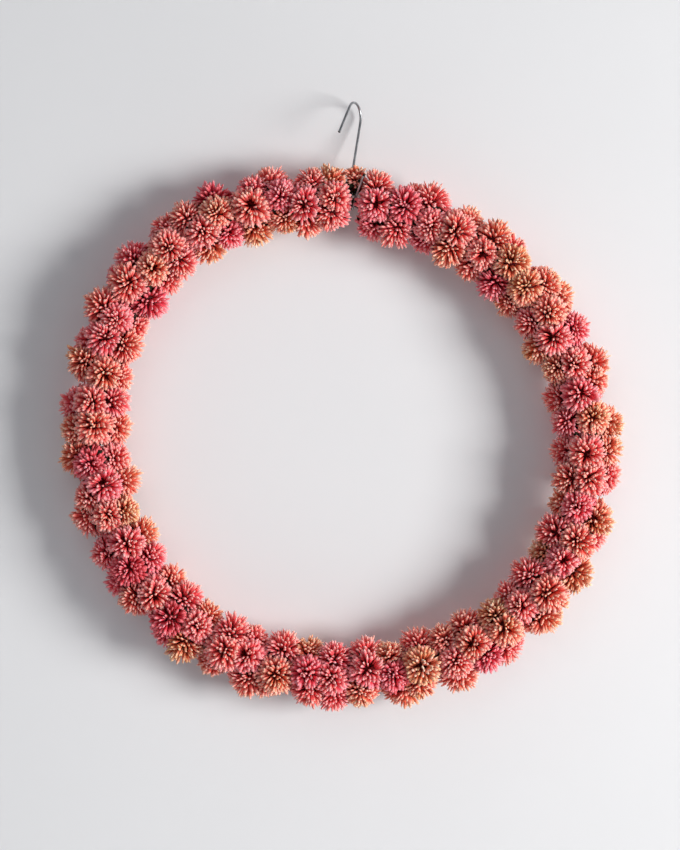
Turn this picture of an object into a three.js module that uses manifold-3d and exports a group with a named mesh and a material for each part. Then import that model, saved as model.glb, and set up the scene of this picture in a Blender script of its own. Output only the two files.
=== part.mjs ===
// A hanging flower wreath: a hoop of steel wire, taped and dressed all round with three-headed
// sprigs of small many-petalled flowers, and a separate wire hook that the hoop hangs and swings on.
//
// Millimetres. +X is to the right as the wreath faces the viewer, -Y is its front, +Z is up.
// The origin is the point under the hook's arc that bears on the nail or rail holding the wreath.

import * as THREE from 'three';
import { mergeVertices } from 'three/addons/utils/BufferGeometryUtils.js';
import Module from 'manifold-3d';

const wasm = await Module();
wasm.setup();

// ---------------------------------------------------------------------------------------------
// Driving dimensions
// ---------------------------------------------------------------------------------------------

const GAP = 0.3;                    // clearance between neighbouring pieces

// The hoop: a round of about 12 inches, left a little oval and wavy by hand bending.
// Its angle runs clockwise from the top, seen from the front.
const RING_CENTRE = new THREE.Vector3(-9.8, -10.6, -212.2);
const RING_RADIUS = 153;
const RING_WAVES = [
  { count: 2, height: 5.0, peak: radians(118) },
  { count: 3, height: 1.25, peak: radians(-27) },
  { count: 4, height: 1.3, peak: radians(43) },
];
const RING_WIRE_RADIUS = 1.0;
const RING_JOINT_ANGLE = radians(203);
const RING_JOINT_GAP = 0.6;         // left between the two butted wire ends

// The thin wire that binds the butted ends. The tape leaves it bare.
const BINDING_WIRE_RADIUS = 0.25;
const BINDING_COIL_RADIUS = RING_WIRE_RADIUS + GAP + BINDING_WIRE_RADIUS;
const BINDING_TURNS = 5;
const BINDING_PITCH = 0.9;          // along the hoop, per turn

// The floral tape, wound tight over the wire and the sprigs' stalks that lie along it.
const TAPE_INNER_RADIUS = RING_WIRE_RADIUS + GAP;
const TAPE_OUTER_RADIUS = 3.0;
const TAPE_GAP = BINDING_TURNS * BINDING_PITCH + 2 * (BINDING_WIRE_RADIUS + GAP);

// The hook: a straight free arm, a round arc and a straight stem, all in one upright plane that
// is turned HOOK_TURN out of the wreath's plane, with the free arm towards the front.
const HOOK_WIRE_RADIUS = 0.8;
const HOOK_TURN = radians(62);
const HOOK_ARC_RADIUS = 8.5;
const HOOK_ARM_END = { out: -20.9, up: -20.6 };
const HOOK_STEM_LEAN = radians(18.4);
const HOOK_STEM_FOOT_UP = -51.7;    // where the stem leaves its plane and turns down to the hoop
const HOOK_FOOT_BLEND = 0.12;       // share of the stem, from its foot, that stays free to bend

// The bend that carries the hoop: half a turn round the taped hoop, from behind to the front.
const BEND_CLEARANCE = 0.5;
const BEND_RADIUS = TAPE_OUTER_RADIUS + BEND_CLEARANCE + HOOK_WIRE_RADIUS;
const BEND_BACK_X = -2.2;
const BEND_FRONT_X = -0.6;
const BEND_RISE = 3;                // straight wire over each end of the bend
const TAIL_LENGTH = 19;
const TAIL_RUN_RIGHT = 0.39;        // sideways per unit of height
const TAIL_LEAN_FRONT = radians(20);

// The flower heads: low domes over the hoop's front and sides, three to a sprig. The back is bare.
const SPRIG_COUNT = 52;
const FIRST_SPRIG_ALONG = 14;       // along the hoop, from the hook to the right
const LAST_SPRIG_ALONG = -9;        // along the hoop, from the hook to the left
const LAST_SPRIG_LEAN = radians(-24);    // its front head leans away from the hook
const SPRIGS_AT_HOOK = 2;           // on each side, those that leave room for the hook
const NEAR_SPRIGS = [-1, 1, -2, 2];      // those that a sprig's heads can press against
const EVEN_SPRIG_FACINGS = [-10, 66, -92].map(radians);
const ODD_SPRIG_FACINGS = [12, 92, -66].map(radians);
const HEAD_RADIUS = 14;
const HEAD_HEIGHT = 21.5;
const HEAD_ROOT = 2.2;              // height of the dome's foot over the wire's centre
const HEAD_FLOOR = 4.2;             // no head comes closer to the wire's centre than this plane
const HEAD_MIDDLE = 11;             // height of the point that neighbouring heads share space by
const HEAD_PROFILE = [[0, -0.3], [1, 0.22], [0.74, 0.74], [0, 1]];    // shares of radius and height

// How unevenly hand work places the heads: a share of a wave that is counted head by head.
const FACING_WOBBLE = { amount: radians(12), rate: 1.7 };
const LEAN_WOBBLE = { amount: radians(17), rate: 2.9 };
const SIZE_WOBBLE = { amount: 0.1, rate: 3.3 };
const ALONG_WOBBLE = { amount: 2.2, rate: 2.4, start: -0.8 };    // counted sprig by sprig

// The room left at the hook. Each side's boundary is a cone about the hinge, so that turning
// never closes it, and beyond what the hook sweeps a plane that comes nearer to the other side.
const HOOK_ROOM = {
  left: { side: -1, edge: -2.5, flare: 0.2, closest: -2.2 },
  right: { side: 1, edge: -1.2, flare: 0.44, closest: -0.1 },
};
const SWEPT_BEND = BEND_RADIUS + HOOK_WIRE_RADIUS + GAP;
const SWEPT_FRONT = { out: 6.9, lean: radians(40.5) };    // the tail's lean and the full swing
const SWEPT_BACK = { out: 6.9, lean: radians(38) };       // the stem's lean and the full swing
const FAR = 90;                     // beyond every head at the hook

// The flower head tied to the hook's neck.
const NECK_FOOT = new THREE.Vector3(0.8, 2.4, 5.5);    // from the hinge
const NECK_DIRECTION = new THREE.Vector3(0.05, 0.06, 1).normalize();
const NECK_FLOOR = 6;               // its underside, over the hinge
const NECK_RADIUS = 13.5;
const NECK_HEIGHT = 18;
const NECK_BACK = { out: 5, lean: radians(17) };
const NECK_SIDE_GAP = 1.5 * GAP;    // between it and the wreath's heads, which turn past it

// How finely curves are divided.
const HOOP_DIVISIONS = 1440;
const RING_STEPS = 56;
const RING_SIDES = 6;
const BINDING_STEPS_PER_TURN = 8;
const BINDING_SIDES = 5;
const HOOK_SIDES = 8;
const HOOK_ARC_STEPS = 12;
const HOOK_FOOT_STEPS = 3;
const HOOK_BEND_STEPS = 9;
const HEAD_SIDES = 6;
const CONE_SIDES = 24;
const DRUM_SIDES = 16;

// ---------------------------------------------------------------------------------------------
// Colours
// ---------------------------------------------------------------------------------------------

const STEEL = { color: 0x7d8084, roughness: 0.35, metalness: 1.0 };
const TAPE = { color: 0x2c3a24, roughness: 0.8, metalness: 0.0 };
const BINDING = { color: 0x3d5138, roughness: 0.45, metalness: 0.6 };
const PETALS = { color: 0xd9717a, roughness: 0.6, metalness: 0.0 };

// ---------------------------------------------------------------------------------------------
// Small helpers
// ---------------------------------------------------------------------------------------------

function radians(degrees) {
  return degrees * Math.PI / 180;
}

// An even, repeatable scatter, as much to one side as to the other.
function wobble(number, { amount, rate, start = 0 }) {
  return amount * Math.sin(number * rate + start);
}

// A curve through knots with straight steps between them, and sections square to each corner.
class KnotCurve extends THREE.Curve {
  constructor(knots) {
    super();
    this.knots = knots;
  }

  getPoint(t, target = new THREE.Vector3()) {
    const place = t * (this.knots.length - 1);
    const index = Math.min(Math.floor(place + 1e-6), this.knots.length - 2);
    return target.lerpVectors(this.knots[index], this.knots[index + 1], place - index);
  }

  getPointAt(u, target) {
    return this.getPoint(u, target);
  }

  getTangentAt(u, target = new THREE.Vector3()) {
    const last = this.knots.length - 1;
    const index = Math.round(u * last);
    const here = this.knots[index];
    const before = here.clone().sub(this.knots[Math.max(index - 1, 0)]).normalize();
    const after = this.knots[Math.min(index + 1, last)].clone().sub(here).normalize();
    return target.addVectors(before, after).normalize();
  }
}

function circleShape(radius, sides) {
  const points = [];
  for (let index = 0; index < sides; index += 1) {
    const angle = (index / sides) * 2 * Math.PI;
    points.push(new THREE.Vector2(radius * Math.cos(angle), radius * Math.sin(angle)));
  }
  return new THREE.Shape(points);
}

function sweep(shape, knots) {
  const curve = new KnotCurve(knots);
  const steps = knots.length - 1;
  return new THREE.ExtrudeGeometry(shape, { steps, bevelEnabled: false, extrudePath: curve });
}

function toSolid(geometry) {
  const bare = geometry.clone();
  bare.deleteAttribute('normal');
  bare.deleteAttribute('uv');
  const merged = mergeVertices(bare, 1e-4);
  const vertProperties = new Float32Array(merged.attributes.position.array);
  const triVerts = new Uint32Array(merged.index.array);
  return new wasm.Manifold(new wasm.Mesh({ numProp: 3, vertProperties, triVerts }));
}

function toGeometry(solid) {
  const mesh = solid.getMesh();
  const positions = new Float32Array(mesh.vertProperties);
  const geometry = new THREE.BufferGeometry();
  geometry.setAttribute('position', new THREE.BufferAttribute(positions, 3));
  geometry.setIndex(new THREE.BufferAttribute(new Uint32Array(mesh.triVerts), 1));
  return geometry;
}

function namedMesh(name, geometry, look) {
  geometry.computeVertexNormals();
  const mesh = new THREE.Mesh(geometry, new THREE.MeshStandardMaterial(look));
  mesh.name = name;
  return mesh;
}

// A large block that fills the side of a plane its normal points to.
function halfSpace(point, normal) {
  const turn = new THREE.Quaternion().setFromUnitVectors(new THREE.Vector3(0, 0, 1), normal);
  const block = new THREE.BoxGeometry(2 * FAR, 2 * FAR, FAR);
  block.translate(0, 0, FAR / 2);
  block.applyQuaternion(turn);
  block.translate(point.x, point.y, point.z);
  return toSolid(block);
}

// ---------------------------------------------------------------------------------------------
// The hoop
// ---------------------------------------------------------------------------------------------

function ringPoint(angle) {
  let radius = RING_RADIUS;
  for (const wave of RING_WAVES) {
    radius += wave.height * Math.cos(wave.count * (angle - wave.peak));
  }
  const out = new THREE.Vector3(Math.sin(angle), 0, Math.cos(angle));
  return out.multiplyScalar(radius).add(RING_CENTRE);
}

// The angle at which the hoop crosses a given x, near its top. Each round closes in on it.
function topAngleAtX(x) {
  const rounds = 20;
  let angle = 0;
  for (let round = 0; round < rounds; round += 1) {
    angle += (x - ringPoint(angle).x) / RING_RADIUS;
  }
  return angle;
}

const HINGE_X = (BEND_BACK_X + BEND_FRONT_X) / 2;
const HINGE_ANGLE = topAngleAtX(HINGE_X);
const HINGE = ringPoint(HINGE_ANGLE);

// The hoop once round from the hinge, by distance along it.
class HoopCurve extends THREE.Curve {
  getPoint(t, target = new THREE.Vector3()) {
    return target.copy(ringPoint(HINGE_ANGLE + t * 2 * Math.PI));
  }
}
const HOOP = new HoopCurve();
HOOP.arcLengthDivisions = HOOP_DIVISIONS;
const HOOP_LENGTH = HOOP.getLength();

function alongHoop(distance) {
  const share = ((distance / HOOP_LENGTH) % 1 + 1) % 1;
  const point = HOOP.getPointAt(share);
  const tangent = HOOP.getTangentAt(share);
  const out = new THREE.Vector3(-tangent.z, 0, tangent.x);
  return { point, tangent, out };
}

// The hoop's line from one side of the joint, all the way round to the other side.
function hoopKnots(gap) {
  const halfGap = gap / 2 / RING_RADIUS;
  const knots = [];
  for (let index = 0; index <= RING_STEPS; index += 1) {
    const share = index / RING_STEPS;
    knots.push(ringPoint(RING_JOINT_ANGLE + halfGap + share * 2 * (Math.PI - halfGap)));
  }
  return knots;
}

function makeRingWire() {
  return sweep(circleShape(RING_WIRE_RADIUS, RING_SIDES), hoopKnots(RING_JOINT_GAP));
}

// Once round from the wire's joint, through the hook's bend too.
function makeStemTape() {
  const whole = sweep(circleShape(TAPE_OUTER_RADIUS, RING_SIDES), hoopKnots(TAPE_GAP));
  const bore = sweep(circleShape(TAPE_INNER_RADIUS, RING_SIDES), hoopKnots(RING_JOINT_GAP));
  return toGeometry(toSolid(whole).subtract(toSolid(bore)));
}

function makeJointBinding() {
  const steps = BINDING_TURNS * BINDING_STEPS_PER_TURN;
  const knots = [];
  for (let index = 0; index <= steps; index += 1) {
    const turn = index / BINDING_STEPS_PER_TURN;
    const along = (turn - BINDING_TURNS / 2) * BINDING_PITCH;
    const angle = RING_JOINT_ANGLE + along / RING_RADIUS;
    const outward = new THREE.Vector3(Math.sin(angle), 0, Math.cos(angle));
    const knot = ringPoint(angle);
    knot.addScaledVector(outward, BINDING_COIL_RADIUS * Math.cos(turn * 2 * Math.PI));
    knot.y += BINDING_COIL_RADIUS * Math.sin(turn * 2 * Math.PI);
    knots.push(knot);
  }
  return sweep(circleShape(BINDING_WIRE_RADIUS, BINDING_SIDES), knots);
}

// ---------------------------------------------------------------------------------------------
// The hook
// ---------------------------------------------------------------------------------------------

// A point of the hook's plane: out is level along the plane, to the back and right.
function inHookPlane(out, up) {
  return new THREE.Vector3(out * Math.cos(HOOK_TURN), out * Math.sin(HOOK_TURN), up);
}

// A point of the arc over the bearing point, by its angle from level.
function onHookArc(angle) {
  const up = HOOK_WIRE_RADIUS - HOOK_ARC_RADIUS + HOOK_ARC_RADIUS * Math.sin(angle);
  return { out: HOOK_ARC_RADIUS * Math.cos(angle), up };
}

// The wire's line: free arm, arc, stem, the bend round the hoop, and the cut tail.
function hookKnots() {
  const knots = [];
  const arcUp = HOOK_WIRE_RADIUS - HOOK_ARC_RADIUS;
  const armRun = Math.hypot(HOOK_ARM_END.out, HOOK_ARM_END.up - arcUp);
  const armBearing = Math.atan2(HOOK_ARM_END.up - arcUp, HOOK_ARM_END.out) + 2 * Math.PI;
  const arcStart = armBearing - Math.acos(HOOK_ARC_RADIUS / armRun);
  const arcEnd = -HOOK_STEM_LEAN;

  knots.push(inHookPlane(HOOK_ARM_END.out, HOOK_ARM_END.up));
  for (let index = 0; index <= HOOK_ARC_STEPS; index += 1) {
    const { out, up } = onHookArc(arcStart + (arcEnd - arcStart) * (index / HOOK_ARC_STEPS));
    knots.push(inHookPlane(out, up));
  }

  const stemTop = onHookArc(arcEnd);
  const stemDrop = stemTop.up - HOOK_STEM_FOOT_UP;
  const foot = inHookPlane(stemTop.out - stemDrop * Math.tan(HOOK_STEM_LEAN), HOOK_STEM_FOOT_UP);
  const bendTop = new THREE.Vector3(BEND_BACK_X, HINGE.y + BEND_RADIUS, HINGE.z);
  const above = bendTop.clone().setZ(HINGE.z + BEND_RISE);
  const pull = foot.clone().lerp(above, 0.5).setX(above.x);
  knots.push(foot.clone().lerp(inHookPlane(stemTop.out, stemTop.up), HOOK_FOOT_BLEND));
  knots.push(...new THREE.QuadraticBezierCurve3(foot, pull, above).getPoints(HOOK_FOOT_STEPS));
  knots.push(bendTop);

  for (let index = 1; index <= HOOK_BEND_STEPS; index += 1) {
    const share = index / HOOK_BEND_STEPS;
    const angle = share * Math.PI;
    const x = BEND_BACK_X + (BEND_FRONT_X - BEND_BACK_X) * share;
    const y = HINGE.y + BEND_RADIUS * Math.cos(angle);
    const z = HINGE.z - BEND_RADIUS * Math.sin(angle);
    knots.push(new THREE.Vector3(x, y, z));
  }

  const run = new THREE.Vector3(TAIL_RUN_RIGHT, -Math.tan(TAIL_LEAN_FRONT), 1).normalize();
  knots.push(knots.at(-1).clone().addScaledVector(run, TAIL_LENGTH));
  return knots;
}

function makeHookWire() {
  return sweep(circleShape(HOOK_WIRE_RADIUS, HOOK_SIDES), hookKnots());
}

// ---------------------------------------------------------------------------------------------
// The flower heads
// ---------------------------------------------------------------------------------------------

function sprigHeads(sprig) {
  const spacing = (HOOP_LENGTH - FIRST_SPRIG_ALONG + LAST_SPRIG_ALONG) / (SPRIG_COUNT - 1);
  const atHook = sprig === 0 || sprig === SPRIG_COUNT - 1;
  const shift = atHook ? 0 : wobble(sprig, ALONG_WOBBLE);
  const station = alongHoop(FIRST_SPRIG_ALONG + spacing * sprig + shift);
  const facings = sprig % 2 === 0 ? EVEN_SPRIG_FACINGS : ODD_SPRIG_FACINGS;
  const lean = sprig === SPRIG_COUNT - 1 ? LAST_SPRIG_LEAN : 0;
  return facings.map((facing, index) => {
    const number = facings.length * sprig + index + 1;
    return makeHead(station, sprig, number, facing, lean);
  });
}

function makeHead(station, sprig, number, facing, lean) {
  const angle = facing + wobble(number, FACING_WOBBLE);
  const tilt = lean + wobble(number, LEAN_WOBBLE);
  const front = new THREE.Vector3(0, -1, 0);
  const square = front.multiplyScalar(Math.cos(angle)).addScaledVector(station.out, Math.sin(angle));
  const direction = square.clone().multiplyScalar(Math.cos(tilt));
  direction.addScaledVector(station.tangent, Math.sin(tilt));
  const size = 1 + wobble(number, SIZE_WOBBLE);
  const middle = station.point.clone().addScaledVector(direction, HEAD_MIDDLE);
  return { sprig, centre: station.point, square, direction, size, middle };
}

function domeSolid(centre, direction, radius, height) {
  const points = HEAD_PROFILE.map(([out, up]) => new THREE.Vector2(out * radius, up * height));
  const turn = new THREE.Quaternion().setFromUnitVectors(new THREE.Vector3(0, 1, 0), direction);
  const dome = new THREE.LatheGeometry(points, HEAD_SIDES);
  dome.applyQuaternion(turn);
  dome.translate(centre.x, centre.y, centre.z);
  return toSolid(dome);
}

const WIDEST_HEAD = 2 * HEAD_RADIUS * (1 + SIZE_WOBBLE.amount);

// Neighbouring heads press flat against each other half way between them.
function trimmedHead(head, others, rooms) {
  const foot = head.centre.clone().addScaledVector(head.direction, HEAD_ROOT);
  const height = HEAD_HEIGHT * head.size;
  let solid = domeSolid(foot, head.direction, HEAD_RADIUS * head.size, height);
  const floor = head.centre.clone().addScaledVector(head.square, HEAD_FLOOR);
  solid = solid.intersect(halfSpace(floor, head.square));
  for (const other of others) {
    const apart = head.middle.clone().sub(other.middle);
    if (other.sprig === head.sprig || apart.length() > WIDEST_HEAD) {
      continue;
    }
    const normal = apart.clone().normalize();
    const wall = other.middle.clone().addScaledVector(normal, (apart.length() + GAP) / 2);
    solid = solid.intersect(halfSpace(wall, normal));
  }
  for (const room of rooms) {
    solid = solid.intersect(room);
  }
  return solid;
}

// ---------------------------------------------------------------------------------------------
// The room at the hook
// ---------------------------------------------------------------------------------------------

// A cone about the hinge's axis, opening away from the hook.
function hingeCone(edge, side, flare) {
  const cone = new THREE.ConeGeometry(FAR / flare, FAR, CONE_SIDES);
  cone.translate(0, -FAR / 2, 0);
  cone.rotateZ(side * Math.PI / 2);
  cone.translate(edge, HINGE.y, HINGE.z);
  return toSolid(cone);
}

// All that the hook can reach as it turns: a wedge over the hoop and a drum round its bend.
function hookSweep() {
  const frontRun = FAR * Math.tan(SWEPT_FRONT.lean);
  const backRun = FAR * Math.tan(SWEPT_BACK.lean);
  const drop = SWEPT_BEND / FAR;
  const wedge = new THREE.Shape();
  wedge.moveTo(-SWEPT_FRONT.out - frontRun, FAR);
  wedge.lineTo(-SWEPT_FRONT.out + frontRun * drop, -SWEPT_BEND);
  wedge.lineTo(SWEPT_BACK.out - backRun * drop, -SWEPT_BEND);
  wedge.lineTo(SWEPT_BACK.out + backRun, FAR);
  const prism = new THREE.ExtrudeGeometry(wedge, { depth: 2 * FAR, bevelEnabled: false });
  prism.translate(0, 0, -FAR);
  prism.rotateX(Math.PI / 2);
  prism.rotateZ(Math.PI / 2);
  prism.translate(0, HINGE.y, HINGE.z);
  const drum = new THREE.CylinderGeometry(SWEPT_BEND, SWEPT_BEND, 2 * FAR, DRUM_SIDES);
  drum.rotateZ(Math.PI / 2);
  drum.translate(0, HINGE.y, HINGE.z);
  return toSolid(prism).add(toSolid(drum));
}

function makeRoom({ side, edge, flare, closest }) {
  const edgeOfSide = new THREE.Vector3(closest, HINGE.y, HINGE.z);
  const nearSide = halfSpace(edgeOfSide, new THREE.Vector3(side, 0, 0));
  return hingeCone(edge, side, flare).add(nearSide.subtract(hookSweep()));
}

// The head that is tied to the hook's own neck, between its stem and its cut tail.
function makeNeckSprig() {
  const foot = HINGE.clone().add(NECK_FOOT);
  const level = new THREE.Vector3(0, HINGE.y, HINGE.z + NECK_FLOOR);
  const tailBack = HINGE.y - BEND_RADIUS + HOOK_WIRE_RADIUS;
  const tailFace = new THREE.Vector3(0, tailBack + 2 * GAP, HINGE.z);
  const backFace = new THREE.Vector3(0, HINGE.y + NECK_BACK.out, HINGE.z);
  const behindTail = new THREE.Vector3(0, Math.cos(TAIL_LEAN_FRONT), Math.sin(TAIL_LEAN_FRONT));
  const beforeBack = new THREE.Vector3(0, -Math.cos(NECK_BACK.lean), Math.sin(NECK_BACK.lean));
  let solid = domeSolid(foot, NECK_DIRECTION, NECK_RADIUS, NECK_HEIGHT);
  solid = solid.intersect(halfSpace(level, new THREE.Vector3(0, 0, 1)));
  solid = solid.intersect(halfSpace(tailFace, behindTail));
  solid = solid.intersect(halfSpace(backFace, beforeBack));
  for (const { side, edge, flare } of Object.values(HOOK_ROOM)) {
    solid = solid.subtract(hingeCone(edge - side * NECK_SIDE_GAP, side, flare));
  }
  const channel = sweep(circleShape(HOOK_WIRE_RADIUS + GAP, HOOK_SIDES), hookKnots());
  return toGeometry(solid.subtract(toSolid(channel)));
}

// ---------------------------------------------------------------------------------------------
// The wreath
// ---------------------------------------------------------------------------------------------

const hook = new THREE.Group();
hook.add(namedMesh('hook_wire', makeHookWire(), STEEL));
hook.add(namedMesh('neck_sprig', makeNeckSprig(), PETALS));

const wreath = new THREE.Group();
wreath.add(namedMesh('ring_wire', makeRingWire(), STEEL));
wreath.add(namedMesh('joint_binding', makeJointBinding(), BINDING));
wreath.add(namedMesh('stem_tape', makeStemTape(), TAPE));

const rightRoom = makeRoom(HOOK_ROOM.right);
const leftRoom = makeRoom(HOOK_ROOM.left);
const sprigs = [];
for (let sprig = 0; sprig < SPRIG_COUNT; sprig += 1) {
  sprigs.push(sprigHeads(sprig));
}
sprigs.forEach((heads, sprig) => {
  const others = NEAR_SPRIGS.flatMap((step) => sprigs[(sprig + step + SPRIG_COUNT) % SPRIG_COUNT]);
  const rooms = [];
  if (sprig < SPRIGS_AT_HOOK) {
    rooms.push(rightRoom);
  }
  if (sprig >= SPRIG_COUNT - SPRIGS_AT_HOOK) {
    rooms.push(leftRoom);
  }
  const trimmed = heads.map((head) => trimmedHead(head, others, rooms));
  const solid = trimmed.reduce((whole, head) => whole.add(head));
  const name = `sprig_${String(sprig + 1).padStart(2, '0')}`;
  wreath.add(namedMesh(name, toGeometry(solid), PETALS));
});

const model = new THREE.Group();
model.add(hook, wreath);

export default model;
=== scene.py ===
"""The flower wreath: petals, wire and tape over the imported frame, in metres, +Z up, -Y to the front."""

import math
from typing import NamedTuple

import bpy
import numpy as np
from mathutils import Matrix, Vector
from mathutils.bvhtree import BVHTree
from mathutils.kdtree import KDTree


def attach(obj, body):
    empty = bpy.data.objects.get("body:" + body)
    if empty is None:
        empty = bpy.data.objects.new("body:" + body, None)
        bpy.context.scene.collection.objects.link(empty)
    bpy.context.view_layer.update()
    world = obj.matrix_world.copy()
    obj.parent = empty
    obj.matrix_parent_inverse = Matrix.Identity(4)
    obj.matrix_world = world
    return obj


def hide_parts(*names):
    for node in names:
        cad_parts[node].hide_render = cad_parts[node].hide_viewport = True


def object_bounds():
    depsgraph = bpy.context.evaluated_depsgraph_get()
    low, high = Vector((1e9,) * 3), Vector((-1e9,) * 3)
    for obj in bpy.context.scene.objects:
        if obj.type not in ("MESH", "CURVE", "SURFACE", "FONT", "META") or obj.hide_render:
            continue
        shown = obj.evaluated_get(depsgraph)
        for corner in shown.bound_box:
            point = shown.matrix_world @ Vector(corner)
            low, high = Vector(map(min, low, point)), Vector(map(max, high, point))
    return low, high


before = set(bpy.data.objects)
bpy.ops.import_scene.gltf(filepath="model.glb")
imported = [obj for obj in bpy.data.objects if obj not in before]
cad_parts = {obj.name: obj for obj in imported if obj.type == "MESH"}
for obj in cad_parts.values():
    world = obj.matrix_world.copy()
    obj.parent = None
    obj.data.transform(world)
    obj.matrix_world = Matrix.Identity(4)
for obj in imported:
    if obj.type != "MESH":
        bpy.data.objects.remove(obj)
cad_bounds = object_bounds()

MM = 0.001

# ------------------------------------------------------------------------------------------------
# The hoop, the hook and the heads' places, as the frame has them
# ------------------------------------------------------------------------------------------------

RING_CENTRE = np.array([-9.8, -10.6, -212.2]) * MM
RING_RADIUS = 153 * MM
RING_WAVES = (                        # waves round the hoop, their height, and where they peak
    (2, 5.0 * MM, math.radians(118)),
    (3, 1.25 * MM, math.radians(-27)),
    (4, 1.3 * MM, math.radians(43)),
)

HOOK_WIRE_RADIUS = 0.8 * MM
HOOK_TURN = math.radians(62)
HOOK_ARC_RADIUS = 8.5 * MM
HOOK_ARM_OUT = -20.9 * MM
HOOK_ARM_UP = -20.6 * MM
HOOK_STEM_LEAN = math.radians(18.4)
HOOK_STEM_FOOT_UP = -51.7 * MM
HOOK_FOOT_BLEND = 0.12
BEND_RADIUS = 4.3 * MM
BEND_BACK_X = -2.2 * MM
BEND_FRONT_X = -0.6 * MM
BEND_RISE = 3 * MM
TAIL_LENGTH = 19 * MM
TAIL_RUN_RIGHT = 0.39
TAIL_LEAN_FRONT = math.radians(20)
WIRE_STEP = 0.8 * MM
EASING_ROUNDS = 8
CUT_STEPS = 2                         # of the tail, near-black steel as painted shade on the nipped end
TAIL_STEPS = 18                       # of the tail, lightened as a painted highlight
# Painted highlight: how much lighter the tail's steel is drawn.
TAIL_PAINTED_HIGHLIGHT = 2.2
NIP_DEPTH = 0.35                      # of a nipped end, by the wire's radius
NIP_RADIUS = 0.62
SWING = math.radians(20)              # of the wreath on the hook, each way
SWING_PLACES = 17                     # of the hook in it that the petals are held clear of
TRACK_REACH = 34 * MM                 # from the hinge, past the heads beside the hook
HOOK_CLEARANCE = 0.35 * MM

SPRIG_COUNT = 52
SPRIGS_AT_HOOK = 2                    # on each side of it
FIRST_SPRIG_ALONG = 14 * MM
LAST_SPRIG_ALONG = -9 * MM
LAST_SPRIG_LEAN = math.radians(-24)
EVEN_SPRIG_FACINGS = (-10, 66, -92)
ODD_SPRIG_FACINGS = (12, 92, -66)
HEAD_RADIUS = 14 * MM
HEAD_HEIGHT = 21.5 * MM
HEAD_ROOT = 2.2 * MM                  # height of a dome's foot over the hoop wire's centre
HEAD_HEART = 6.5 * MM                 # height of the point that its petals spread from
FACING_WOBBLE = math.radians(12)
LEAN_WOBBLE = math.radians(17)
SIZE_WOBBLE = 0.1
ALONG_WOBBLE = 2.2 * MM

NECK_FOOT = np.array([0.8, 2.4, 5.5]) * MM
NECK_DIRECTION = (0.05, 0.06, 1)
NECK_RADIUS = 13.5 * MM
NECK_HEIGHT = 18 * MM
NECK_HEART = 4.3 * MM


def unit(vector):
    return vector / np.linalg.norm(vector)


def wobble(number, rate):
    return math.sin(number * rate)


def ring_point(angle):
    radius = RING_RADIUS + sum(high * math.cos(count * (angle - peak)) for count, high, peak in RING_WAVES)
    return RING_CENTRE + radius * np.array([math.sin(angle), 0, math.cos(angle)])


def top_angle_at(x):
    angle = 0.0
    for _ in range(20):
        angle += (x - ring_point(angle)[0]) / RING_RADIUS
    return angle


HINGE_ANGLE = top_angle_at((BEND_BACK_X + BEND_FRONT_X) / 2)
HINGE = ring_point(HINGE_ANGLE)
HOOP_STEPS = 1440
HOOP_POINTS = np.array([
    ring_point(HINGE_ANGLE + 2 * math.pi * step / HOOP_STEPS) for step in range(HOOP_STEPS + 1)
])
HOOP_REACH = np.concatenate([[0], np.cumsum(np.linalg.norm(np.diff(HOOP_POINTS, axis=0), axis=1))])
HOOP_LENGTH = HOOP_REACH[-1]


def along_hoop(distance):
    """The hoop's point, tangent and outward direction at a distance from the hook."""
    place = np.interp(distance % HOOP_LENGTH, HOOP_REACH, np.arange(HOOP_STEPS + 1))
    angle = HINGE_ANGLE + 2 * math.pi * place / HOOP_STEPS
    tangent = unit(ring_point(angle + 1e-3) - ring_point(angle - 1e-3))
    return ring_point(angle), tangent, np.array([-tangent[2], 0, tangent[0]])


def make_head(point, tangent, out, number, facing, lean):
    angle = facing + FACING_WOBBLE * wobble(number, 1.7)
    tilt = lean + LEAN_WOBBLE * wobble(number, 2.9)
    square = math.cos(angle) * np.array([0, -1, 0]) + math.sin(angle) * out
    direction = math.cos(tilt) * square + math.sin(tilt) * tangent
    size = 1 + SIZE_WOBBLE * wobble(number, 3.3)
    return {
        "number": number,
        "root": point,
        "heart": point + HEAD_HEART * direction,
        "direction": direction,
        "radius": HEAD_RADIUS * size,
        "height": HEAD_HEIGHT * size + HEAD_ROOT - HEAD_HEART,
    }


def sprig_heads(sprig):
    spacing = (HOOP_LENGTH - FIRST_SPRIG_ALONG + LAST_SPRIG_ALONG) / (SPRIG_COUNT - 1)
    shift = 0 if sprig in (0, SPRIG_COUNT - 1) else ALONG_WOBBLE * wobble(sprig - 1 / 3, 2.4)
    point, tangent, out = along_hoop(FIRST_SPRIG_ALONG + spacing * sprig + shift)
    facings = ODD_SPRIG_FACINGS if sprig % 2 else EVEN_SPRIG_FACINGS
    lean = LAST_SPRIG_LEAN if sprig == SPRIG_COUNT - 1 else 0
    return [
        make_head(point, tangent, out, 3 * sprig + index + 1, math.radians(facing), lean)
        for index, facing in enumerate(facings)
    ]


def neck_head():
    direction = unit(np.array(NECK_DIRECTION))
    foot = np.array([0, HINGE[1], HINGE[2]]) + NECK_FOOT
    return {
        "number": 0,
        "root": foot,
        "heart": foot + NECK_HEART * direction,
        "direction": direction,
        "radius": NECK_RADIUS,
        "height": NECK_HEIGHT - NECK_HEART,
    }


# ------------------------------------------------------------------------------------------------
# Materials
# ------------------------------------------------------------------------------------------------

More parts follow.
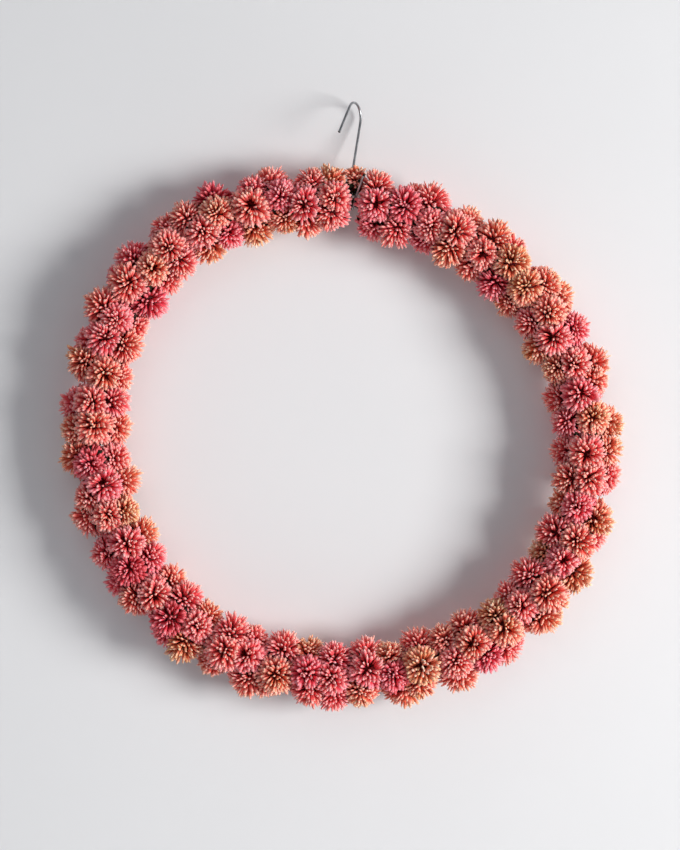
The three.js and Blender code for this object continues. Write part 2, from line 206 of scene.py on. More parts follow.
class Nodes:
    """A short way to write a node material."""

    def __init__(self, name):
        self.material = bpy.data.materials.new(name)
        self.material.use_nodes = True
        self.tree = self.material.node_tree
        self.shader = self.tree.nodes["Principled BSDF"]

    def add(self, kind, **values):
        node = self.tree.nodes.new(kind)
        for key, value in values.items():
            setattr(node, key, value)
        return node

    def link(self, out, to):
        self.tree.links.new(out, to)

    def attribute(self, name):
        return self.add("ShaderNodeAttribute", attribute_name=name).outputs["Fac"]

    def math(self, operation, first, second=0.0, clamp=False):
        node = self.add("ShaderNodeMath", operation=operation, use_clamp=clamp)
        for socket, value in zip(node.inputs, (first, second)):
            if isinstance(value, (int, float)):
                socket.default_value = value
            else:
                self.link(value, socket)
        return node.outputs[0]

    def ramp(self, source, stops, interpolation="LINEAR"):
        node = self.add("ShaderNodeValToRGB")
        node.color_ramp.interpolation = interpolation
        elements = node.color_ramp.elements
        while len(elements) < len(stops):
            elements.new(0.5)
        for element, (place, colour) in zip(elements, stops):
            element.position = place
            element.color = (*colour, 1)
        self.link(source, node.inputs[0])
        return node.outputs[0]

    def mix(self, factor, first, second, blend="MIX"):
        node = self.add("ShaderNodeMix", data_type="RGBA", blend_type=blend)
        for socket, value in zip((node.inputs[0], node.inputs[6], node.inputs[7]), (factor, first, second)):
            if isinstance(value, (int, float)):
                socket.default_value = value
            elif isinstance(value, tuple):
                socket.default_value = (*value, 1)
            else:
                self.link(value, socket)
        return node.outputs[2]

    def noise(self, scale, detail=2.0, stretch=(1, 1, 1), roughness=0.5):
        place = self.add("ShaderNodeTexCoord").outputs["Object"]
        mapping = self.add("ShaderNodeMapping")
        mapping.inputs["Scale"].default_value = stretch
        node = self.add("ShaderNodeTexNoise")
        node.inputs["Scale"].default_value = scale
        node.inputs["Detail"].default_value = detail
        node.inputs["Roughness"].default_value = roughness
        self.link(place, mapping.inputs["Vector"])
        self.link(mapping.outputs[0], node.inputs["Vector"])
        return node.outputs["Fac"]

    def bump(self, height, distance, strength=1.0):
        node = self.add("ShaderNodeBump")
        node.inputs["Distance"].default_value = distance
        node.inputs["Strength"].default_value = strength
        self.link(height, node.inputs["Height"])
        self.link(node.outputs[0], self.shader.inputs["Normal"])

    def set(self, **values):
        for key, value in values.items():
            self.shader.inputs[key.replace("_", " ")].default_value = value


# The heads' tints, from deep red through pink and coral to tan and cream: petal colour, tip colour.
HEAD_TINTS = (
    (0.00, (0.54, 0.014, 0.034), (0.88, 0.215, 0.245)),
    (0.18, (0.92, 0.088, 0.142), (0.97, 0.435, 0.465)),
    (0.40, (0.94, 0.120, 0.134), (0.97, 0.530, 0.485)),
    (0.62, (0.92, 0.134, 0.103), (0.97, 0.570, 0.455)),
    (0.78, (0.90, 0.192, 0.110), (0.95, 0.620, 0.455)),
    (0.90, (0.66, 0.156, 0.053), (0.92, 0.550, 0.315)),
    (1.00, (0.94, 0.365, 0.255), (0.97, 0.840, 0.700)),
)
# Deep red of the petals' roots, darkened to near black as painted shade between crowded petals.
PETAL_ROOT_SHADE = (0.075, 0.0008, 0.0018)
PETAL_GLOW_DEPTH = 1.2 * MM           # light passes this far through a petal
RIM_PINK = (0.88, 0.110, 0.125)


def petal_material():
    """Green at the calyx, deep red at the petals' roots darkened to near black as painted shade between the
    crowded petals, then the head's tint and its paler tips.
    """
    n = Nodes("petals")
    along = n.attribute("along")
    rim = n.attribute("rim")
    shade = n.attribute("shade")
    lean = n.math("ADD", n.math("MULTIPLY", shade, 0.12), n.math("MULTIPLY", rim, -0.26))
    tint = n.math("ADD", n.attribute("head_tint"), lean, True)

    petal = n.ramp(tint, [(place, petal) for place, petal, _ in HEAD_TINTS])
    petal = n.mix(n.math("MULTIPLY", rim, 0.30), petal, RIM_PINK)
    tip = n.ramp(tint, [(place, tip) for place, _, tip in HEAD_TINTS])
    tip = n.mix(n.math("MULTIPLY", rim, 0.30), tip, petal)
    tip_start = n.math("ADD", n.math("MULTIPLY", shade, 0.08), 0.76)
    tip_share = n.math("MULTIPLY", n.math("SUBTRACT", along, tip_start), 6.0, True)
    # Painted shade: the petals' lower part goes near black, as if shaded by the petals round it.
    root_shade_share = n.ramp(along, ((0.36, (1, 1, 1)), (0.70, (0, 0, 0))))
    coloured = n.mix(tip_share, n.mix(root_shade_share, petal, PETAL_ROOT_SHADE), tip)

    mottle = n.ramp(n.noise(900, 3), ((0.30, (0.78, 0.74, 0.74)), (0.70, (1.0, 1.0, 1.0))))
    mottled = n.mix(0.8, coloured, mottle, "MULTIPLY")
    green = n.ramp(n.noise(500, 2), ((0.3, (0.020, 0.045, 0.012)), (0.7, (0.060, 0.105, 0.030))))
    n.link(n.mix(n.math("LESS_THAN", along, 0.2), mottled, green), n.shader.inputs["Base Color"])

    rough = n.ramp(n.noise(1400, 2), ((0.3, (0.45,) * 3), (0.7, (0.65,) * 3)))
    n.link(rough, n.shader.inputs["Roughness"])
    n.bump(n.noise(2600, 2), 0.00012, 0.5)
    n.set(Specular_IOR_Level=0.12, Subsurface_Weight=0.22, Subsurface_Scale=PETAL_GLOW_DEPTH)
    return n.material


def calyx_shade_material():
    """Calyx leaves: dark green and a few reddish, darkened to almost black as painted shade in the gaps
    between heads.
    """
    n = Nodes("calyx")
    stops = ((0.2, (0.006, 0.009, 0.004)), (0.6, (0.014, 0.020, 0.008)), (0.95, (0.030, 0.012, 0.008)))
    n.link(n.ramp(n.attribute("shade"), stops), n.shader.inputs["Base Color"])
    n.set(Roughness=0.7, Specular_IOR_Level=0.15)
    return n.material


def steel_material(name, brightness=1):
    """Drawn steel wire: fine lengthwise streaks and a little dulling. A brightness over 1 lightens it as a
    painted highlight.
    """
    n = Nodes(name)
    dulling = n.noise(260, 4)
    stops = ((0.30, (0.20, 0.205, 0.215)), (0.55, (0.33, 0.335, 0.35)), (0.80, (0.42, 0.42, 0.43)))
    colour = n.ramp(dulling, [(place, [brightness * part for part in tone]) for place, tone in stops])
    n.link(colour, n.shader.inputs["Base Color"])
    rough = n.ramp(n.noise(420, 3), ((0.3, (0.26,) * 3), (0.7, (0.44,) * 3)))
    n.link(rough, n.shader.inputs["Roughness"])
    n.bump(n.noise(3000, 2, (1, 1, 0.08)), 0.00004, 0.4)
    n.set(Metallic=1.0)
    return n.material


def nipped_end_shade_material():
    """Near-black steel on the wire's nipped ends: painted shade."""
    n = Nodes("hook_nipped_end_shade")
    colour = n.ramp(n.noise(1800, 3), ((0.3, (0.018, 0.016, 0.016)), (0.7, (0.07, 0.06, 0.055))))
    n.link(colour, n.shader.inputs["Base Color"])
    n.set(Metallic=1.0, Roughness=0.6)
    return n.material


def tape_material():
    """Waxed crepe tape, wound on in overlapping turns."""
    n = Nodes("floral_tape")
    crepe = n.noise(1600, 3, (1, 1, 1))
    colour = n.ramp(crepe, ((0.3, (0.008, 0.010, 0.005)), (0.7, (0.030, 0.040, 0.018))))
    n.link(colour, n.shader.inputs["Base Color"])
    n.bump(crepe, 0.0002, 0.8)
    n.set(Roughness=0.75, Specular_IOR_Level=0.3)
    return n.material


def reel_wire_material():
    """Green lacquered reel wire, a little worn."""
    n = Nodes("binding_wire")
    worn = n.noise(700, 3)
    colour = n.ramp(worn, ((0.35, (0.020, 0.060, 0.022)), (0.75, (0.055, 0.120, 0.050))))
    n.link(colour, n.shader.inputs["Base Color"])
    n.bump(n.noise(2400, 2), 0.00005, 0.4)
    n.set(Roughness=0.38, Metallic=0.3)
    return n.material


# ------------------------------------------------------------------------------------------------
# Flower heads
# ------------------------------------------------------------------------------------------------

PETAL_PLACES_SEED = 7                 # each seed is added to a head's number
PETAL_SHAPES_SEED = 1007
HEAD_TINT_SEED = 2007
LEAF_PLACES_SEED = 3007
LEAF_SHAPES_SEED = 4007

PETALS_PER_HEAD = 200
SPREAD = math.radians(102)            # how far round from its top a head's petals reach
CROWDING = 0.6                        # under 0.5 the petals crowd at the rim, over it at the top
PETAL_SCATTER = 0.05                  # of its angle from the top, its bearing and its reach
NEAREST_BEARING = 0.15                # so that bearings near the top don't scatter without end
TIP_SCATTER = (0.96, 1.03)            # of the reach that there is room for
GOLDEN_ANGLE = math.pi * (3 - math.sqrt(5))
PETAL_HALF_WIDTH = 1.02 * MM
LEAVES_PER_HEAD = 22
LEAF_SPREAD = (math.radians(78), math.radians(132))
LEAF_REACH = 11 * MM
LEAF_BEARING_SCATTER = 0.1
LEAF_REACH_SCATTER = 0.08
LEAF_SHORTEST = 0.35
LEAF_HALF_WIDTH = 2.3 * MM
# The neck head's near-black leaves reach further down, to darken the gap under it with painted shade.
NECK_LEAF_OVERLAP = 1.8 * MM          # down towards the taped hoop, which it must clear
RIM_WIDENING = 0.30
WIDEST_PETAL_ANGLE = 1.5              # from the top
WIDTH_SCATTER = 0.1
TWIST_SCATTER = 0.4
SWAY_SCATTER = 0.05
PETAL_SIDES = 4
PETAL_START = 0.32                    # where a petal starts, as a share of its reach
ARCH = 0.24                           # how much nearer to the head's middle a petal starts
OVERLAP = 1.6 * MM                    # how far neighbouring heads' petals mix
HEMMED_IN = 0.84                      # the frame's head ends nearer than this share of its outline
# Along a petal: share of its length, width, thickness.
PETAL_RINGS = (
    (0.00, 0.30, 0.28),
    (0.42, 0.55, 0.45),
    (0.74, 1.00, 0.62),
    (0.91, 0.78, 0.50),
)
PETAL_ALONG = 0.34                    # colour place where a petal starts: its tip is at 1
OPEN_HEARTS = 4                       # one head in this many has a hollow at its top
HOLLOW = math.radians(12)
TINT_SPREAD = (2.2, 1.7)

CORE_SIDES = 14
CORE_BANDS = 8
CORE_TOP = 4                          # degrees from a head's top
CORE_SPAN = 112
CORE_SIZE = 0.55                      # of the head's outline
CORE_ROOM = 0.80                      # of the room that there is
CORE_SHADE = 0.5
STALK_RINGS = ((0.62, 3.6 * MM), (0.50, 1.5 * MM))    # share of the way from root to heart, radius
STALK_ALONG = 0.1                     # green, as under 0.2
RIM_ANGLE = 1.6                       # from the top, where the rim's colour is full


class Blade(NamedTuple):
    """A petal or a leaf: its bearing, its angle from the head's top, its reach with and without
    neighbours, and its shade."""

    sideways: np.ndarray
    polar: float
    reach: float
    natural: float
    shade: float


def across(direction):
    """Two directions square to one direction and to each other."""
    helper = np.array([0.0, 0.0, 1.0]) if abs(direction[2]) < 0.9 else np.array([1.0, 0.0, 0.0])
    first = unit(np.cross(direction, helper))
    return first, np.cross(direction, first)


def dome_reach(head, polar):
    """From a head's heart to its natural outline, at an angle from its top."""
    return 1 / np.sqrt((np.cos(polar) / head["height"]) ** 2 + (np.sin(polar) / head["radius"]) ** 2)


def room_along(head, way, natural, tree, mates, overlap):
    """How far a petal can reach before a neighbour's space or the hook's room."""
    reach = natural
    hit = tree.ray_cast(Vector(head["heart"]), Vector(way), natural)
    if hit[0] is not None and hit[3] < HEMMED_IN * natural:
        reach = min(natural, hit[3] + overlap)
    for mate in mates:
        normal = unit(mate["direction"] - head["direction"])
        towards = way @ normal
        if towards > 1e-3:
            reach = min(reach, overlap - ((head["heart"] - head["root"]) @ normal) / towards)
    return reach


def scatter_petals(head, tree, mates, shortest, overlap):
    """The petals of a head, spread evenly from its top to its rim."""
    random = np.random.default_rng(head["number"] + PETAL_PLACES_SEED)
    first, second = across(head["direction"])
    hollow = HOLLOW if head["number"] % OPEN_HEARTS == 1 else 0
    turn = random.uniform(0, 2 * math.pi)
    found = []
    for index in range(PETALS_PER_HEAD):
        polar = SPREAD * ((index + 0.5) / PETALS_PER_HEAD) ** CROWDING
        polar = abs(polar + random.normal(0, PETAL_SCATTER))
        aside = random.normal(0, PETAL_SCATTER) / max(math.sin(polar), NEAREST_BEARING)
        bearing = turn + index * GOLDEN_ANGLE + aside
        if polar < hollow:
            continue
        side = math.cos(bearing) * first + math.sin(bearing) * second
        way = math.cos(polar) * head["direction"] + math.sin(polar) * side
        natural = dome_reach(head, polar) * random.normal(1.0, PETAL_SCATTER)
        reach = room_along(head, way, natural, tree, mates, overlap)
        if reach < shortest * natural:
            continue
        reach *= random.uniform(*TIP_SCATTER)
        found.append(Blade(side, polar, reach, natural, random.uniform()))
    return found


def scatter_leaves(head, tree, mates, overlap):
    """The calyx leaves under a head: wide, and spread level between it and the hoop, where their near-black
    colour fills the gaps as painted shade.
    """
    random = np.random.default_rng(head["number"] + LEAF_PLACES_SEED)
    first, second = across(head["direction"])
    found = []
    for index in range(LEAVES_PER_HEAD):
        polar = random.uniform(*LEAF_SPREAD)
        bearing = index * GOLDEN_ANGLE + random.normal(0, LEAF_BEARING_SCATTER)
        side = math.cos(bearing) * first + math.sin(bearing) * second
        way = math.cos(polar) * head["direction"] + math.sin(polar) * side
        natural = LEAF_REACH * random.normal(1.0, LEAF_REACH_SCATTER)
        reach = room_along(head, way, natural, tree, mates, overlap)
        if reach > LEAF_SHORTEST * natural:
            found.append(Blade(side, polar, reach, natural, random.uniform()))
    return found


def blade_vertices(head, blades, half_width, seed):
    """Vertices of every petal or leaf of a head, ring by ring, with the point last."""
    random = np.random.default_rng(head["number"] + seed)
    sideways = np.array([blade.sideways for blade in blades])
    polar = np.array([blade.polar for blade in blades])[:, None]
    reach = np.array([blade.reach for blade in blades])[:, None]
    natural = np.array([blade.natural for blade in blades])[:, None]
    each = (len(blades), 1)
    start = PETAL_START * np.minimum(natural, reach)
    widening = 1 + RIM_WIDENING * np.minimum(polar, WIDEST_PETAL_ANGLE) / WIDEST_PETAL_ANGLE
    width = half_width * random.normal(1.0, WIDTH_SCATTER, each) * widening
    lateral = np.cross(sideways, head["direction"])
    twist = random.normal(0, TWIST_SCATTER, each)
    sway = random.normal(0, SWAY_SCATTER, each)

    def centre_line(share):
        bent = polar * (1 - ARCH * (1 - share * share))
        way = np.cos(bent) * head["direction"] + np.sin(bent) * sideways
        swayed = lateral * (sway * reach * share * share)
        return head["heart"] + way * (start + (reach - start) * share) + swayed

    near = 0.02
    rings = []
    for share, wide, thick in PETAL_RINGS:
        run = centre_line(share + near) - centre_line(share - near)
        run /= np.linalg.norm(run, axis=1)[:, None]
        flat = lateral - run * np.sum(lateral * run, axis=1)[:, None]
        flat /= np.linalg.norm(flat, axis=1)[:, None]
        deep = np.cross(flat, run)
        flat, deep = (flat * np.cos(twist) + deep * np.sin(twist),
                      deep * np.cos(twist) - flat * np.sin(twist))
        for corner in range(PETAL_SIDES):
            angle = 2 * math.pi * corner / PETAL_SIDES
            offset = flat * (width * wide * math.cos(angle)) + deep * (width * thick * math.sin(angle))
            rings.append(centre_line(share) + offset)
    rings.append(centre_line(1.0))
    return np.stack(rings, axis=1)


def petal_faces():
    """The faces of one petal, over its own vertices."""
    faces = [tuple(reversed(range(PETAL_SIDES)))]
    for ring in range(len(PETAL_RINGS) - 1):
        for corner in range(PETAL_SIDES):
            after = (corner + 1) % PETAL_SIDES
            low, high = ring * PETAL_SIDES, (ring + 1) * PETAL_SIDES
            faces.append((low + corner, low + after, high + after, high + corner))
    last = (len(PETAL_RINGS) - 1) * PETAL_SIDES
    point = len(PETAL_RINGS) * PETAL_SIDES
    for corner in range(PETAL_SIDES):
        faces.append((last + corner, last + (corner + 1) % PETAL_SIDES, point))
    return faces


def core_mesh(head, tree, mates):
    """The heart that the petals stand on, in the near-black root colour as painted shade deep in the head,
    and the calyx and stalk under it.
    """
    first, second = across(head["direction"])
    points = []
    along = []
    for band in range(CORE_BANDS + 1):
        polar = math.radians(CORE_TOP + CORE_SPAN * band / CORE_BANDS)
        for corner in range(CORE_SIDES):
            bearing = 2 * math.pi * corner / CORE_SIDES
            side = math.cos(bearing) * first + math.sin(bearing) * second
            way = math.cos(polar) * head["direction"] + math.sin(polar) * side
            natural = dome_reach(head, polar)
            reach = room_along(head, way, natural, tree, mates, 0)
            points.append(head["heart"] + way * min(CORE_SIZE * natural, CORE_ROOM * reach))
            along.append(PETAL_ALONG)
    heart_height = np.linalg.norm(head["heart"] - head["root"])
    for height, radius in STALK_RINGS:
        for corner in range(CORE_SIDES):
            bearing = 2 * math.pi * corner / CORE_SIDES
            side = math.cos(bearing) * first + math.sin(bearing) * second
            points.append(head["root"] + head["direction"] * heart_height * height + side * radius)
            along.append(STALK_ALONG)
    faces = [tuple(reversed(range(CORE_SIDES)))]
    rows = CORE_BANDS + 1 + len(STALK_RINGS)
    for row in range(rows - 1):
        for corner in range(CORE_SIDES):
            after = (corner + 1) % CORE_SIDES
            low, high = row * CORE_SIDES, (row + 1) * CORE_SIDES
            faces.append((low + corner, high + corner, high + after, low + after))
    faces.append(tuple(range((rows - 1) * CORE_SIDES, rows * CORE_SIDES)))
    return points, faces, along


def head_tint(head):
    """Most heads are coral; some are rose, and a few are peach, tan or cream."""
    random = np.random.default_rng(head["number"] + HEAD_TINT_SEED)
    return float(random.beta(*TINT_SPREAD))


def hook_track():
    """Every place that the hook's wire comes to, seen from the wreath, over the whole swing."""
    route = hook_route() - HINGE
    route = route[np.linalg.norm(route[:, 1:], axis=1) < TRACK_REACH]
    places = []
    for angle in np.linspace(-SWING, SWING, SWING_PLACES):
        turn = np.array([
            [1, 0, 0],
            [0, math.cos(angle), math.sin(angle)],
            [0, -math.sin(angle), math.cos(angle)],
        ])
        places.extend(route @ turn + HINGE)
    track = KDTree(len(places))
    for index, place in enumerate(places):
        track.insert(place, index)
    track.balance()
    return track


def misses(track, corners):
    """Whether a petal or leaf stays clear of the hook's wire wherever that comes to."""
    rings = corners[:-1].reshape(len(PETAL_RINGS), PETAL_SIDES, 3)
    lines = np.concatenate([rings, rings.mean(axis=1, keepdims=True)], axis=1)
    tip = np.broadcast_to(corners[-1], (1, PETAL_SIDES + 1, 3))
    lines = np.concatenate([lines, tip])
    limit = HOOK_WIRE_RADIUS + HOOK_CLEARANCE
    for share in (0, 0.25, 0.5, 0.75, 1):
        for point in (lines[:-1] + (lines[1:] - lines[:-1]) * share).reshape(-1, 3):
            if track.find(point)[2] < limit:
                return False
    return True


class FlowerMesh:
    """A mesh that grows part by part, with the numbers that its materials read at each vertex."""

    def __init__(self):
        self.vertices, self.faces, self.looks = [], [], []
        self.values = {"along": [], "rim": [], "shade": [], "head_tint": []}

    def add(self, points, faces, look, along, **uniform):
        base = len(self.vertices)
        self.vertices.extend(points)
        self.faces.extend(tuple(base + corner for corner in face) for face in faces)
        self.looks.extend([look] * len(faces))
        self.values["along"].extend(along)
        for key, value in uniform.items():
            self.values[key].extend([value] * len(points))

    def finished(self, name, materials):
        mesh = bpy.data.meshes.new(name)
        mesh.from_pydata([tuple(vertex) for vertex in self.vertices], [], self.faces)
        for key, numbers in self.values.items():
            layer = mesh.attributes.new(key, "FLOAT", "POINT")
            layer.data.foreach_set("value", np.array(numbers, np.float32))
        mesh.polygons.foreach_set("use_smooth", [True] * len(mesh.polygons))
        for material in materials:
            mesh.materials.append(material)
        mesh.polygons.foreach_set("material_index", self.looks)
        return mesh


def flower_piece(name, heads, node, materials, body,
                 shortest=0.5, overlap=OVERLAP, leaf_overlap=OVERLAP, track=None):
    """The heads of one sprig as one piece. The materials are the petals' and the leaves'. Petals
    and leaves that the hook's track runs through are left out."""
    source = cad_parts[node].data
    tree = BVHTree.FromPolygons([v.co for v in source.vertices],
                                [tuple(p.vertices) for p in source.polygons])
    blade_faces = petal_faces()
    blade_along = [PETAL_ALONG + (1 - PETAL_ALONG) * share
                   for share, *_ in PETAL_RINGS for _ in range(PETAL_SIDES)] + [1.0]
    grown = FlowerMesh()
    for head in heads:
        mates = [other for other in heads if other is not head]
        tint = head_tint(head)
        points, core_faces, along = core_mesh(head, tree, mates)
        grown.add(points, core_faces, 0, along, rim=0.0, shade=CORE_SHADE, head_tint=tint)

        petals = scatter_petals(head, tree, mates, shortest, overlap)
        leaves = scatter_leaves(head, tree, mates, leaf_overlap)
        kinds = (
            (petals, PETAL_HALF_WIDTH, PETAL_SHAPES_SEED),
            (leaves, LEAF_HALF_WIDTH, LEAF_SHAPES_SEED),
        )
        for look, (blades, half_width, seed) in enumerate(kinds):
            if not blades:
                continue
            for blade, corners in zip(blades, blade_vertices(head, blades, half_width, seed)):
                if track and not misses(track, corners):
                    continue
                rim = min(blade.polar / RIM_ANGLE, 1.0)
                grown.add(corners, blade_faces, look, blade_along,
                          rim=rim, shade=blade.shade, head_tint=tint)

    piece = bpy.data.objects.new(name, grown.finished(name, materials))
    bpy.context.scene.collection.objects.link(piece)
    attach(piece, body)
    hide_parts(node)
    return piece


# ------------------------------------------------------------------------------------------------
# The hook
# ------------------------------------------------------------------------------------------------

def in_hook_plane(out, up):
    """A point of the hook's upper part, which is turned as a whole away from the hoop's plane."""
    return np.array([out * math.cos(HOOK_TURN), out * math.sin(HOOK_TURN), up])


def hook_route():
    """The hook wire's centre line: from its free end round the arc, down the stem, under the hoop
    and up to the tail's end."""
    arc_up = HOOK_WIRE_RADIUS - HOOK_ARC_RADIUS
    arm_run = math.hypot(HOOK_ARM_OUT, HOOK_ARM_UP - arc_up)
    arm_bearing = math.atan2(HOOK_ARM_UP - arc_up, HOOK_ARM_OUT) + 2 * math.pi
    arc_start = arm_bearing - math.acos(HOOK_ARC_RADIUS / arm_run)
    arc_end = -HOOK_STEM_LEAN
    points = [in_hook_plane(HOOK_ARM_OUT, HOOK_ARM_UP)]
    arc_steps = 36
    for index in range(arc_steps + 1):
        angle = arc_start + (arc_end - arc_start) * index / arc_steps
        out, up = HOOK_ARC_RADIUS * math.cos(angle), HOOK_ARC_RADIUS * math.sin(angle)
        points.append(in_hook_plane(out, arc_up + up))

    top_out = HOOK_ARC_RADIUS * math.cos(arc_end)
    top_up = arc_up + HOOK_ARC_RADIUS * math.sin(arc_end)
    drop = top_up - HOOK_STEM_FOOT_UP
    foot = in_hook_plane(top_out - drop * math.tan(HOOK_STEM_LEAN), HOOK_STEM_FOOT_UP)
    above = np.array([BEND_BACK_X, HINGE[1] + BEND_RADIUS, HINGE[2] + BEND_RISE])
    points.append(foot + HOOK_FOOT_BLEND * (points[-1] - foot))
    pull = (foot + above) / 2
    pull[0] = above[0]
    turn_steps = 9
    for index in range(turn_steps + 1):
        share = index / turn_steps
        points.append((1 - share) ** 2 * foot + 2 * share * (1 - share) * pull + share ** 2 * above)

    bend_steps = 27
    for index in range(bend_steps + 1):
        share = index / bend_steps
        angle = share * math.pi
        x = BEND_BACK_X + (BEND_FRONT_X - BEND_BACK_X) * share
        swing = np.array([0, BEND_RADIUS * math.cos(angle), -BEND_RADIUS * math.sin(angle)])
        points.append(np.array([x, HINGE[1], HINGE[2]]) + swing)

    run = unit(np.array([TAIL_RUN_RIGHT, -math.tan(TAIL_LEAN_FRONT), 1]))
    points.append(points[-1] + TAIL_LENGTH * run)
    return eased(np.array(points))


def eased(route):
    """The route in even steps, with its corners eased as bent wire has them."""
    reach = np.concatenate([[0], np.cumsum(np.linalg.norm(np.diff(route, axis=0), axis=1))])
    places = np.linspace(0, reach[-1], round(reach[-1] / WIRE_STEP) + 1)
    even = np.stack([np.interp(places, reach, route[:, axis]) for axis in range(3)], axis=1)
    for _ in range(EASING_ROUNDS):
        even[1:-1] = (even[:-2] + 2 * even[1:-1] + even[2:]) / 4
    return even


def round_wire(name, route, radius, materials, sides=16):
    """A round wire along a route, with nipped ends of the second material and a tail of the third."""
    runs = [unit(after - before) for before, after in zip(route[:-1], route[1:])]
    middles = [unit(before + after) for before, after in zip(runs[:-1], runs[1:])]
    tangents = [runs[0], *middles, runs[-1]]
    normal = across(tangents[0])[0]
    rings = []
    for point, tangent in zip(route, tangents):
        normal = unit(normal - tangent * (normal @ tangent))
        binormal = np.cross(tangent, normal)
        rings.append((point, tangent, normal, binormal))

    chamfer = NIP_DEPTH * radius
    rows = [(rings[0], -chamfer, NIP_RADIUS), *[(ring, 0, 1.0) for ring in rings],
            (rings[-1], chamfer, NIP_RADIUS)]
    vertices = []
    for (point, tangent, normal, binormal), shift, scale in rows:
        for corner in range(sides):
            angle = 2 * math.pi * corner / sides
            round_off = radius * scale * (math.cos(angle) * normal + math.sin(angle) * binormal)
            vertices.append(tuple(point + shift * tangent + round_off))
    faces = [tuple(reversed(range(sides)))]
    looks = [1]
    last = len(rows) - 1
    for row in range(last):
        if row == 0 or row >= last - 1 - CUT_STEPS:
            look = 1
        elif row >= last - 1 - TAIL_STEPS:
            look = 2
        else:
            look = 0
        for corner in range(sides):
            after = (corner + 1) % sides
            low, high = row * sides, (row + 1) * sides
            faces.append((low + corner, low + after, high + after, high + corner))
            looks.append(look)
    faces.append(tuple(range(last * sides, (last + 1) * sides)))
    looks.append(1)
    mesh = bpy.data.meshes.new(name)
    mesh.from_pydata(vertices, [], faces)
    for material in materials:
        mesh.materials.append(material)
    mesh.polygons.foreach_set("material_index", looks)
    mesh.polygons.foreach_set("use_smooth", [True] * len(mesh.polygons))
    piece = bpy.data.objects.new(name, mesh)
    bpy.context.scene.collection.objects.link(piece)
    return piece


# ------------------------------------------------------------------------------------------------
# Stage, light and camera
# ------------------------------------------------------------------------------------------------

WALL_BEHIND = 3.5 * MM               # from the wreath's back to the wall
FLOOR_BELOW = 1.60                   # a wreath hangs well above the floor
PICTURE_CENTRE = Vector((-9.3, -10.6, -204.1)) * MM
PICTURE_HEIGHT = 535.5 * MM          # seen at the hoop's plane
CAMERA_DISTANCE = 1.25
SENSOR_WIDTH = 36                    # millimetres
WALL_HALF_WIDTH = 2.2
WALL_TOP = 1.6                       # over the hook's bearing point
FLOOR_REACH = 4
LIGHTS = (                           # name, place from the wreath's middle, side, power, colour
    ("window", (2.05, -1.42, -0.22), 1.0, 84, (1.0, 0.985, 0.965)),
    ("room", (-0.5, -1.8, 0.9), 1.4, 5, (0.95, 0.97, 1.0)),
    ("behind", (0.9, 1.7, 0.8), 1.5, 40, (1.0, 0.99, 0.97)),
)
SKY_COLOUR = (0.90, 0.94, 1.0, 1)
SKY_STRENGTH = 0.26


def wall_material():
    """Pale painted wall. It has only a front: from behind it isn't there."""
    n = Nodes("pale_wall")
    colour = n.ramp(n.noise(1.6, 3), ((0.35, (0.66, 0.662, 0.675)), (0.65, (0.70, 0.702, 0.715))))
    n.link(colour, n.shader.inputs["Base Color"])
    n.set(Roughness=0.9, Specular_IOR_Level=0.1)
    clear = n.add("ShaderNodeBsdfTransparent")
    mix = n.add("ShaderNodeMixShader")
    n.link(n.add("ShaderNodeNewGeometry").outputs["Backfacing"], mix.inputs[0])
    n.link(n.shader.outputs[0], mix.inputs[1])
    n.link(clear.outputs[0], mix.inputs[2])
    n.link(mix.outputs[0], n.tree.nodes["Material Output"].inputs["Surface"])
    return n.material


def floor_material():
    n = Nodes("pale_floor")
    colour = n.ramp(n.noise(2.0, 3), ((0.35, (0.76, 0.765, 0.78)), (0.65, (0.80, 0.805, 0.82))))
    n.link(colour, n.shader.inputs["Base Color"])
    n.set(Roughness=0.8, Specular_IOR_Level=0.2)
    return n.material


def flat_sheet(name, corners, material):
    mesh = bpy.data.meshes.new(name)
    mesh.from_pydata(corners, [], [(0, 1, 2, 3)])
    mesh.materials.append(material)
    sheet = bpy.data.objects.new(name, mesh)
    bpy.context.scene.collection.objects.link(sheet)
    return sheet


def area_light(name, place, aim, side, power, colour):
    """A soft square light that faces its aim."""
    data = bpy.data.lights.new(name, "AREA")
    data.shape = "SQUARE"
    data.size = side
    data.energy = power
    data.color = colour
    light = bpy.data.objects.new(name, data)
    light.location = place
    light.rotation_mode = "QUATERNION"
    light.rotation_quaternion = (Vector(aim) - Vector(place)).to_track_quat("-Z", "Y")
    bpy.context.scene.collection.objects.link(light)


def stand_back(wall, heel_z):
    """The wall gives way to a wreath that swings backward, and otherwise stays where it is. It
    follows a marker at the wreath's lowest point, but never comes forward of its place."""
    heel = bpy.data.objects.new("wreath_heel", None)
    heel.location = (0, wall.location.y, heel_z)
    bpy.context.scene.collection.objects.link(heel)
    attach(heel, "wreath")
    follow = wall.constraints.new("COPY_LOCATION")
    follow.target = heel
    follow.use_x = follow.use_z = False
    stop = wall.constraints.new("LIMIT_LOCATION")
    stop.use_min_y = True
    stop.min_y = wall.location.y


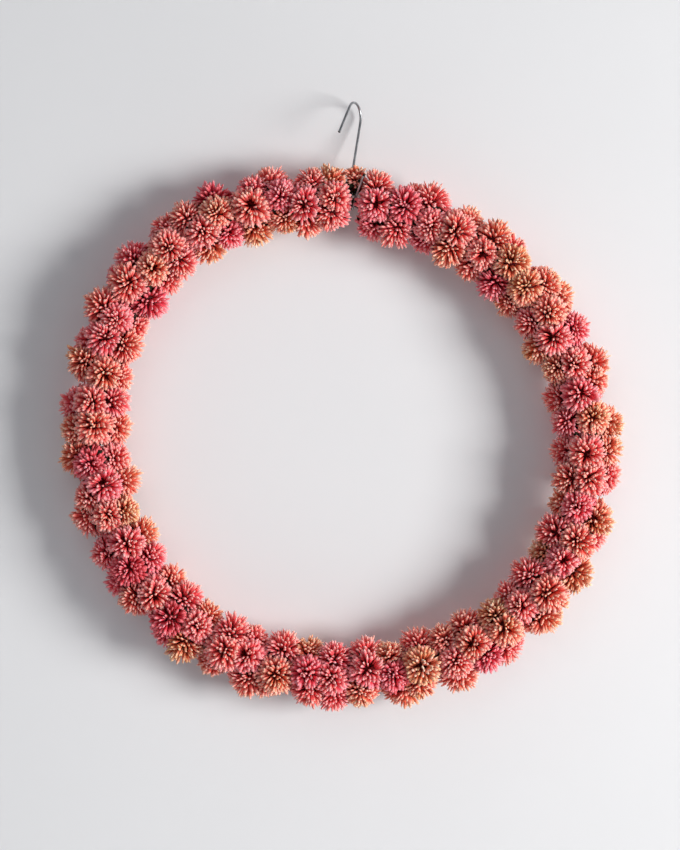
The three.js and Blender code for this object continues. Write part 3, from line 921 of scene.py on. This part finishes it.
def make_stage():
    low, high = cad_bounds
    wall_y = high.y + WALL_BEHIND
    floor_z = low.z - FLOOR_BELOW
    left, right = -WALL_HALF_WIDTH, WALL_HALF_WIDTH
    corners = ((left, 0, floor_z), (right, 0, floor_z), (right, 0, WALL_TOP), (left, 0, WALL_TOP))
    wall = flat_sheet("wall", corners, wall_material())
    wall.location.y = wall_y
    stand_back(wall, low.z)
    wall.visible_shadow = False      # light from behind reaches the wreath's back past it
    left, right = -FLOOR_REACH, FLOOR_REACH
    corners = ((left, -FLOOR_REACH, floor_z), (right, -FLOOR_REACH, floor_z),
               (right, wall_y, floor_z), (left, wall_y, floor_z))
    flat_sheet("floor", corners, floor_material())

    middle = (low + high) / 2
    for name, place, side, power, colour in LIGHTS:
        area_light(name, middle + Vector(place), middle, side, power, colour)

    world = bpy.data.worlds.new("studio")
    bpy.context.scene.world = world
    world.use_nodes = True
    background = world.node_tree.nodes["Background"]
    background.inputs["Color"].default_value = SKY_COLOUR
    background.inputs["Strength"].default_value = SKY_STRENGTH


def make_camera():
    data = bpy.data.cameras.new("camera")
    data.sensor_width = SENSOR_WIDTH
    data.lens = SENSOR_WIDTH * CAMERA_DISTANCE / PICTURE_HEIGHT
    camera = bpy.data.objects.new("camera", data)
    camera.location = PICTURE_CENTRE - Vector((0, CAMERA_DISTANCE, 0))
    camera.rotation_euler = (math.radians(90), 0, 0)
    bpy.context.scene.collection.objects.link(camera)
    bpy.context.scene.camera = camera


# ------------------------------------------------------------------------------------------------
# The whole
# ------------------------------------------------------------------------------------------------

bpy.context.scene.view_settings.view_transform = "Standard"

make_camera()
flower_looks = (petal_material(), calyx_shade_material())
at_hook = {"shortest": 0.3, "overlap": 0, "leaf_overlap": 0, "track": hook_track()}
for sprig in range(SPRIG_COUNT):
    beside_hook = sprig < SPRIGS_AT_HOOK or sprig >= SPRIG_COUNT - SPRIGS_AT_HOOK
    number = f"{sprig + 1:02d}"
    flower_piece(f"flowers_{number}", sprig_heads(sprig), f"sprig_{number}", flower_looks,
                 "wreath", **(at_hook if beside_hook else {}))
flower_piece("flowers_at_neck", [neck_head()], "neck_sprig", flower_looks, "hook",
             shortest=0.3, overlap=0, leaf_overlap=NECK_LEAF_OVERLAP)

steel = steel_material("hook_steel")
# Painted highlight: the tail's steel is drawn lighter than the rest of the hook.
# Painted shade: the wire's nipped ends are drawn near black.
hook = round_wire("hook", hook_route(), HOOK_WIRE_RADIUS,
                  (steel, nipped_end_shade_material(), steel_material("hook_tail_painted_highlight", TAIL_PAINTED_HIGHLIGHT)))
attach(hook, "hook")
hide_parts("hook_wire")

node_looks = {"ring_wire": steel_material("hoop_steel"), "stem_tape": tape_material(),
              "joint_binding": reel_wire_material()}
for node, material in node_looks.items():
    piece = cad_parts[node]
    piece.data.materials.clear()
    piece.data.materials.append(material)

make_stage()
